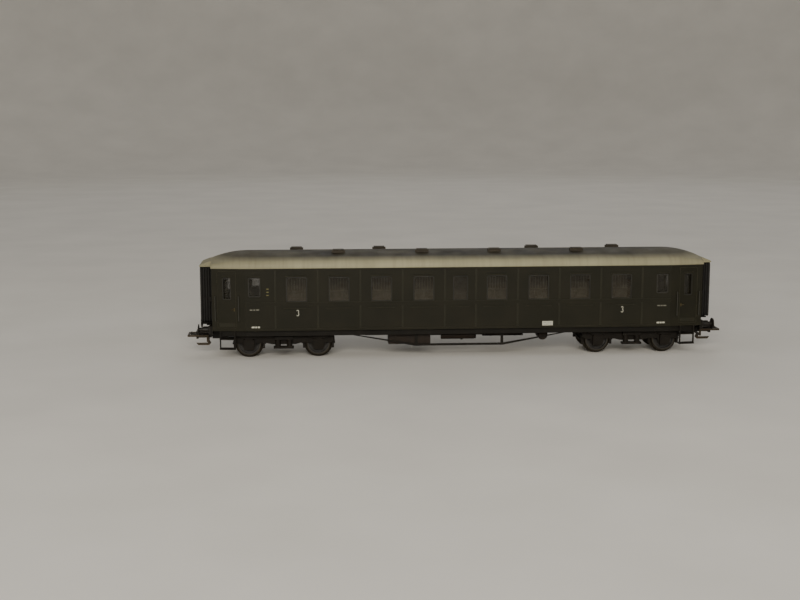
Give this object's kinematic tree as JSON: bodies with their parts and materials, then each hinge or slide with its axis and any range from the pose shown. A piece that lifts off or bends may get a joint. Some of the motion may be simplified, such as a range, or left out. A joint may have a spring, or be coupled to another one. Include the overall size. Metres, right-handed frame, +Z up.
{
  "type": "model passenger coach",
  "caption": "H0 scale bogie passenger coach with tapered ends, silver roof, glazed compartments, swivelling bogies, rolling wheelsets and sprung loop couplers.",
  "frame": {"origin": "under the middle of the coach, level with the bottoms of the wheel flanges; the rail head is 1 mm higher", "axes": "+X along the coach towards the front bogie, +Y to the corridor side, +Z up"},
  "size_m": [0.245, 0.0342, 0.0485],
  "materials": {
    "coach_green": "satin dark bottle green paint",
    "roof_silver": "silver-grey metallic paint, satin",
    "clear_glazing": "clear polystyrene",
    "interior_tan": "tan moulding",
    "bench_wood": "wood-coloured slats",
    "ballast_steel": "plain strip steel",
    "wheel_steel": "blackened nickel-plated steel, bright tread",
    "axle_steel": "turned steel",
    "bellows_rubber": "matt black",
    "handrail_metal": "painted wire",
    "loop_metal": "blackened steel",
    "bogie_black": "dusty black",
    "coupler_black": "black, self-coloured",
    "frame_black": "dusty black"
  },
  "bodies": {
    "coach": {"air_reservoirs": "frame_black", "axle_generator": "frame_black", "ballast_weight": "ballast_steel", "battery_box_left": "frame_black", "battery_box_right": "frame_black", "benches": "bench_wood", "body_shell": "coach_green", "bogie_screw_front": "axle_steel", "bogie_screw_rear": "axle_steel", "brake_cylinder": "frame_black", "brake_rigging": "frame_black", "buffer_front_left": "frame_black", "buffer_front_right": "frame_black", "buffer_rear_left": "frame_black", "buffer_rear_right": "frame_black", "compartment_walls": "interior_tan", "corridor_doors": "interior_tan", "corridor_wall": "interior_tan", "coupler_guide_front": "coupler_black", "coupler_guide_rear": "coupler_black", "coupler_spring_front": "axle_steel", "coupler_spring_rear": "axle_steel", "door_glazing": "clear_glazing", "door_handrails": "handrail_metal", "entrance_steps": "frame_black", "gangway_bellows_front": "bellows_rubber", "gangway_bellows_rear": "bellows_rubber", "gangway_footplate_front": "frame_black", "gangway_footplate_rear": "frame_black", "glazing_left": "clear_glazing", "glazing_right": "clear_glazing", "headstock_front": "frame_black", "headstock_rear": "frame_black", "interior_floor": "interior_tan", "lamp_brackets": "frame_black", "roof": "roof_silver", "roof_vents": "roof_silver", "steam_pipe": "frame_black", "truss_frames": "frame_black", "underframe": "frame_black"},
    "bogie_front": {"bogie_frame_front": "bogie_black", "brake_shoes_front": "bogie_black"},
    "bogie_rear": {"bogie_frame_rear": "bogie_black", "brake_shoes_rear": "bogie_black"},
    "wheelset_1": {"axle_1": "axle_steel", "wheels_1": "wheel_steel"},
    "wheelset_2": {"axle_2": "axle_steel", "wheels_2": "wheel_steel"},
    "wheelset_3": {"axle_3": "axle_steel", "wheels_3": "wheel_steel"},
    "wheelset_4": {"axle_4": "axle_steel", "wheels_4": "wheel_steel"},
    "coupler_slider_front": {"coupler_shoe_front": "coupler_black"},
    "coupler_front": {"coupler_drawbar_front": "coupler_black", "coupling_head_front": "coupler_black"},
    "loop_front": {"coupling_loop_front": "loop_metal"},
    "coupler_slider_rear": {"coupler_shoe_rear": "coupler_black"},
    "coupler_rear": {"coupler_drawbar_rear": "coupler_black", "coupling_head_rear": "coupler_black"},
    "loop_rear": {"coupling_loop_rear": "loop_metal"}
  },
  "joints": [
    {"name": "bogie_front_swivel", "type": "hinge", "parent": "coach", "child": "bogie_front", "pos_m": [0.079, 0, 0.0085], "axis": [0, 0, 1], "range_deg": [-11, 11]},
    {"name": "bogie_rear_swivel", "type": "hinge", "parent": "coach", "child": "bogie_rear", "pos_m": [-0.079, 0, 0.0085], "axis": [0, 0, 1], "range_deg": [-11, 11]},
    {"name": "wheelset_1_spin", "type": "hinge", "parent": "bogie_front", "child": "wheelset_1", "pos_m": [0.0945, 0, 0.0065], "axis": [0, 1, 0], "continuous": true},
    {"name": "wheelset_2_spin", "type": "hinge", "parent": "bogie_front", "child": "wheelset_2", "pos_m": [0.0635, 0, 0.0065], "axis": [0, 1, 0], "continuous": true},
    {"name": "wheelset_3_spin", "type": "hinge", "parent": "bogie_rear", "child": "wheelset_3", "pos_m": [-0.0945, 0, 0.0065], "axis": [0, 1, 0], "continuous": true},
    {"name": "wheelset_4_spin", "type": "hinge", "parent": "bogie_rear", "child": "wheelset_4", "pos_m": [-0.0635, 0, 0.0065], "axis": [0, 1, 0], "continuous": true},
    {"name": "coupler_front_slide", "type": "slide", "parent": "coach", "child": "coupler_slider_front", "axis": [1, 0, 0], "range_m": [0, 0.0015], "stiffness_N_per_m": 12},
    {"name": "coupler_front_swing", "type": "hinge", "parent": "coupler_slider_front", "child": "coupler_front", "pos_m": [0.104, 0, 0.0106], "axis": [0, 0, 1], "range_deg": [-12, 12], "stiffness_Nm_per_rad": 0.001},
    {"name": "loop_front_lift", "type": "hinge", "parent": "coupler_front", "child": "loop_front", "pos_m": [0.1147, 0, 0.0093], "axis": [0, -1, 0], "range_deg": [0, 20]},
    {"name": "coupler_rear_slide", "type": "slide", "parent": "coach", "child": "coupler_slider_rear", "axis": [-1, 0, 0], "range_m": [0, 0.0015], "stiffness_N_per_m": 12},
    {"name": "coupler_rear_swing", "type": "hinge", "parent": "coupler_slider_rear", "child": "coupler_rear", "pos_m": [-0.104, 0, 0.0106], "axis": [0, 0, 1], "range_deg": [-12, 12], "stiffness_Nm_per_rad": 0.001},
    {"name": "loop_rear_lift", "type": "hinge", "parent": "coupler_rear", "child": "loop_rear", "pos_m": [-0.1147, 0, 0.0093], "axis": [0, 1, 0], "range_deg": [0, 20]}
  ]
}
